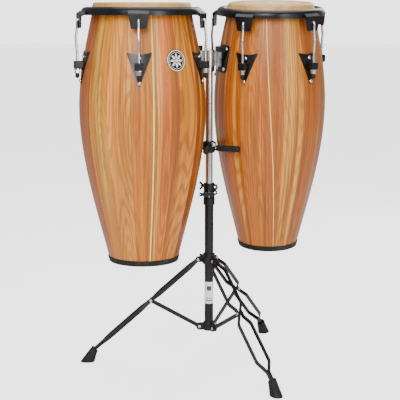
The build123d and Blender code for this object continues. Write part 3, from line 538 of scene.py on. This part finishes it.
# ---------------------------------------------------------------- the label on the lower tube
TUBE_RADIUS = 0.0127
LABEL_LOW, LABEL_HIGH = 0.178, 0.243
LABEL_HALF_ANGLE = radians(82)
LABEL_LIFT, PRINT_LIFT = 0.00020, 0.00027
LABEL_GAUGE = 0.00012
PATCH_ROWS, PATCH_COLUMNS = 24, 28


def tube_patch(name, low, high, half_angle, lift, material, corner=0.004):
    """A thin round-cornered patch wrapped round the front of the lower tube."""
    middle, half_height = (low + high) / 2, (high - low) / 2
    half_width = half_angle * TUBE_RADIUS
    vertices = []
    for side in (lift, lift - LABEL_GAUGE):
        for i in range(PATCH_ROWS + 1):
            v = half_height * (2 * i / PATCH_ROWS - 1)
            past = max(0.0, abs(v) - (half_height - corner))
            width = half_width - corner + (corner ** 2 - past ** 2) ** 0.5
            for j in range(PATCH_COLUMNS + 1):
                angle = -pi / 2 + width * (2 * j / PATCH_COLUMNS - 1) / TUBE_RADIUS
                radius = TUBE_RADIUS + side
                vertices.append(POST + Vector((radius * cos(angle), radius * sin(angle), middle + v)))
    across = PATCH_COLUMNS + 1
    count = (PATCH_ROWS + 1) * across
    front = rings_to_faces(PATCH_ROWS + 1, across, closed=False)
    faces = front + [tuple(k + count for k in reversed(face)) for face in front]
    rim = list(range(PATCH_COLUMNS)) + [(i + 1) * across - 1 for i in range(PATCH_ROWS)]
    rim += [PATCH_ROWS * across + j for j in range(PATCH_COLUMNS, 0, -1)]
    rim += [i * across for i in range(PATCH_ROWS, 0, -1)]
    for k, here in enumerate(rim):
        there = rim[(k + 1) % len(rim)]
        faces.append((here, here + count, there + count, there))
    return new_piece(name, vertices, faces, material, "base")


def label_print(name, low, high, half_angle, corner):
    """A plain bar printed on the label."""
    return tube_patch(name, low, high, radians(half_angle), PRINT_LIFT, PRINT, corner)


PAPER = label_paper()
PRINT = enamel("label_print", "2c2d30", "6b6d70")
tube_patch("stand_label", LABEL_LOW, LABEL_HIGH, LABEL_HALF_ANGLE, LABEL_LIFT, PAPER)
label_print("stand_label_band", LABEL_HIGH - 0.026, LABEL_HIGH - 0.012, 30, 0.003)
label_print("stand_label_foot", LABEL_LOW + 0.008, LABEL_LOW + 0.011, 48, 0.001)
label_print("stand_label_line", LABEL_LOW + 0.016, LABEL_LOW + 0.018, 48, 0.0009)


# ---------------------------------------------------------------- the legs' rivet caps and boots
LEGS = 3
MID_PIVOT = (0.1696, 0.1855)        # radius and height of the pivot in the middle of a leg
COLLAR_PIVOT = (0.0313, 0.308)
LEG_LENGTH = 0.434
RAIL_FACE = 0.0085                  # a rail's outer face to the side of the leg's plane
LEG_SLOPE = atan2(COLLAR_PIVOT[1] - MID_PIVOT[1], MID_PIVOT[0] - COLLAR_PIVOT[0])
LEG_DOWN = Vector((cos(LEG_SLOPE), 0, -sin(LEG_SLOPE)))
BOOT_MOUTH = 0.029                  # how far up the leg a boot reaches from its tip
BOOT_AHEAD = 0.0015                 # how far the sole's middle stands outside the leg's tip
BOOT_SIDES, CAP_SIDES = 40, 24
# (radius, height) points of a rivet's domed end
CAP_OUTLINE = ((0.0052, 0.0), (0.0052, 0.0008), (0.0047, 0.0019), (0.0034, 0.0027), (0.0018, 0.0031),
               (0.0004, 0.0032))
# A boot's stations from its mouth: share of the way down, half length, half width, squareness
BOOT_STATIONS = (
    (0.03, 0.0070, 0.0062, 0.6), (0.0, 0.0085, 0.0078, 0.6), (0.0, 0.0108, 0.0104, 0.5),
    (0.03, 0.0120, 0.0118, 0.4), (0.09, 0.0124, 0.0122, 0.4), (0.11, 0.0112, 0.0110, 0.4),
    (0.16, 0.0113, 0.0111, 0.3), (0.18, 0.0125, 0.0124, 0.3), (0.34, 0.0134, 0.0130, 0.2),
    (0.52, 0.0150, 0.0136, 0.2), (0.70, 0.0172, 0.0144, 0.3), (0.84, 0.0192, 0.0150, 0.3),
    (0.93, 0.0203, 0.0155, 0.3), (0.97, 0.0206, 0.0157, 0.3), (0.993, 0.0202, 0.0153, 0.3),
    (1.0, 0.0188, 0.0140, 0.3), (1.0, 0.0120, 0.0080, 0.3), (1.0, 0.0004, 0.0004, 0.3),
)


def leg_place(i):
    """Puts the XZ plane on a leg's own plane, which is square to its fold joint's axis."""
    axis = JOINT_AXES[f"leg_{i}_fold"]
    return Matrix.Translation(POST) @ Matrix.Rotation(atan2(-axis.x, axis.y), 4, "Z")


def rivet_caps(i):
    """The bright domed ends of the rivet that joins a leg's rails to its brace."""
    vertices, faces = [], []
    for side in (-1, 1):
        turned = Matrix.Rotation(-side * pi / 2, 4, "X")
        stand = Matrix.Translation((MID_PIVOT[0], side * RAIL_FACE, MID_PIVOT[1])) @ turned
        some, quads = lathe(CAP_OUTLINE, CAP_SIDES, leg_place(i) @ stand)
        faces += [tuple(k + len(vertices) for k in quad) for quad in quads]
        vertices += some
    steel = MATERIALS["plated_steel"]
    new_piece(f"rivet_caps_{i}", vertices, faces, steel, f"leg_{i}")


def superellipse(angle, half_long, half_wide, square):
    """A point of a rounded rectangle's outline, from round at squareness 0 to square at 1."""
    power = 1.0 - 0.45 * square
    c, v = cos(angle), sin(angle)
    reach = half_long * abs(c) ** power * (1 if c > 0 else -1)
    aside = half_wide * abs(v) ** power * (1 if v > 0 else -1)
    return reach, aside


def boot(i):
    """A moulded rubber boot: a round ribbed mouth on the leg, a wedge body and a flat, bevelled sole."""
    tip = Vector((COLLAR_PIVOT[0], 0, COLLAR_PIVOT[1])) + LEG_DOWN * LEG_LENGTH
    mouth = tip - LEG_DOWN * BOOT_MOUTH
    sole = Vector((tip.x + BOOT_AHEAD, 0, 0))
    place = leg_place(i)
    vertices = []
    for share, half_long, half_wide, square in BOOT_STATIONS:
        middle = mouth.lerp(sole, share)
        tilt = (pi / 2 - LEG_SLOPE) * (1 - share * share * (3 - 2 * share))
        along = Vector((cos(tilt), 0, sin(tilt)))
        for k in range(BOOT_SIDES):
            reach, aside = superellipse(tau * k / BOOT_SIDES, half_long, half_wide, square)
            point = place @ (middle + along * reach + Vector((0, aside, 0)))
            vertices.append(Vector((point.x, point.y, max(point.z, 0.0))))
    faces = rings_to_faces(len(BOOT_STATIONS), BOOT_SIDES)
    rubber_boot = MATERIALS["black_rubber"]
    piece = new_piece(f"boot_{i}", vertices, faces, rubber_boot, f"leg_{i}")
    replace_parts(piece, f"foot_{i}")


for leg in range(1, LEGS + 1):
    rivet_caps(leg)
    boot(leg)


# ---------------------------------------------------------------- floor, lights and camera
# How bright the floor and the surroundings are as light on the object, and as the camera sees them
FLOOR_LIGHT, FLOOR_SEEN = 0.3, 2.4
WORLD_LIGHT, WORLD_SEEN = 0.38, 3.2
FLOOR_SIDE = 60
# Each lamp's name, place, aim, sides and power in watts
LAMPS = (
    ("key", (-0.75, -3.2, 2.3), (0, 0, 0.62), (1.6, 2.0), 125),
    ("fill", (1.7, -2.9, 1.5), (0, 0, 0.6), (1.0, 2.0), 58),
    ("top", (0.2, 0.4, 3.0), (0, 0, 0.6), (2.4, 2.4), 60),
    ("rim", (1.2, 2.4, 1.9), (0, 0, 0.7), (1.0, 1.6), 35),
)
CAMERA_FROM = Vector((-0.026, -3.263, 1.030))   # measured from the foot of the post
CAMERA_PITCH = radians(9.53)                    # downwards
CAMERA_LENS = 103.5
CAMERA_SENSOR = 36.0
CAMERA_REACH = 200.0


def studio_floor():
    """A pale, slightly mottled floor that looks brighter than the light it gives."""
    s = Surface("studio_floor", roughness=0.6, specular_ior_level=0.2)
    mottle = s.noise(s.coordinates(), 3.0, 5.0)
    s.colour(s.blend(mottle, hue("cfcfcf"), hue("d6d6d6")))
    s.feed(s.shader.inputs["Emission Color"], s.blend(mottle, hue("f6f6f6"), hue("fcfcfc")))
    seen = s.make("ShaderNodeLightPath", {}).outputs["Is Camera Ray"]
    glow = s.make("ShaderNodeMapRange", {0: seen, 3: FLOOR_LIGHT, 4: FLOOR_SEEN}).outputs[0]
    s.feed(s.shader.inputs["Emission Strength"], glow)
    s.bump((s.noise(s.coordinates(), 240.0, 2.0), 0.0001))
    return s.material


def make_floor():
    bpy.ops.mesh.primitive_grid_add(x_subdivisions=8, y_subdivisions=8, size=FLOOR_SIDE)
    floor = bpy.context.object
    floor.name = "studio_floor"
    floor.data.materials.append(studio_floor())


def make_world():
    """A soft white studio: brighter behind the object than it is as a source of light."""
    world = bpy.data.worlds.new("studio")
    world.use_nodes = True
    tree = world.node_tree
    sky = tree.nodes["Background"]
    sky.inputs["Color"].default_value = hue("f7f8fa")
    path = tree.nodes.new("ShaderNodeLightPath")
    power = tree.nodes.new("ShaderNodeMapRange")
    power.inputs["To Min"].default_value = WORLD_LIGHT
    power.inputs["To Max"].default_value = WORLD_SEEN
    tree.links.new(path.outputs["Is Camera Ray"], power.inputs["Value"])
    tree.links.new(power.outputs["Result"], sky.inputs["Strength"])
    bpy.context.scene.world = world


def area_light(name, place, aim, sides, power):
    data = bpy.data.lights.new(name, "AREA")
    data.shape = "RECTANGLE"
    data.size, data.size_y = sides
    data.energy = power
    lamp = bpy.data.objects.new(name, data)
    lamp.location = place
    lamp.rotation_euler = (Vector(aim) - Vector(place)).to_track_quat("-Z", "Y").to_euler()
    bpy.context.scene.collection.objects.link(lamp)


def make_camera():
    data = bpy.data.cameras.new("camera")
    data.lens = CAMERA_LENS
    data.sensor_width = CAMERA_SENSOR
    data.clip_end = CAMERA_REACH
    camera = bpy.data.objects.new("camera", data)
    camera.location = POST + CAMERA_FROM
    camera.rotation_euler = (pi / 2 - CAMERA_PITCH, 0, 0)
    bpy.context.scene.collection.objects.link(camera)
    bpy.context.scene.camera = camera


make_floor()
make_world()
for lamp_name, lamp_place, lamp_aim, lamp_sides, lamp_power in LAMPS:
    area_light(lamp_name, lamp_place, lamp_aim, lamp_sides, lamp_power)
make_camera()
